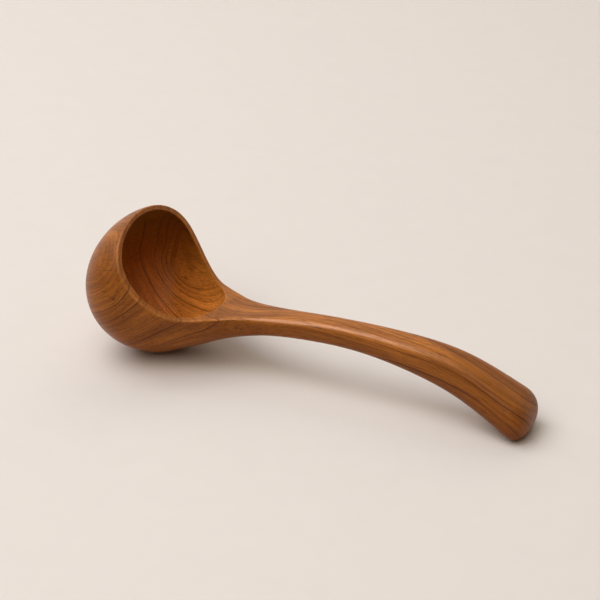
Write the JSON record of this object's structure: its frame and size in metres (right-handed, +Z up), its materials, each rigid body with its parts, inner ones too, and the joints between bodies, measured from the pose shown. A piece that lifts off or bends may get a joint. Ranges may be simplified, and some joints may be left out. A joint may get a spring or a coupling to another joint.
{
  "type": "wooden serving spoon",
  "caption": "Deep round serving spoon carved from one block of hardwood, with a raised front lip, a swept mouth and an arched handle that flares to a rounded butt.",
  "frame": {"origin": "centre of the spoon's bounding box, on the table it rests on", "axes": "+X from the bowl to the butt of the handle, +Z up from the table, the spoon's two halves alike about y = 0"},
  "size_m": [0.25, 0.082, 0.0783],
  "materials": {
    "wood": "satin"
  },
  "bodies": {
    "root": {"spoon": "wood"}
  },
  "joints": []
}
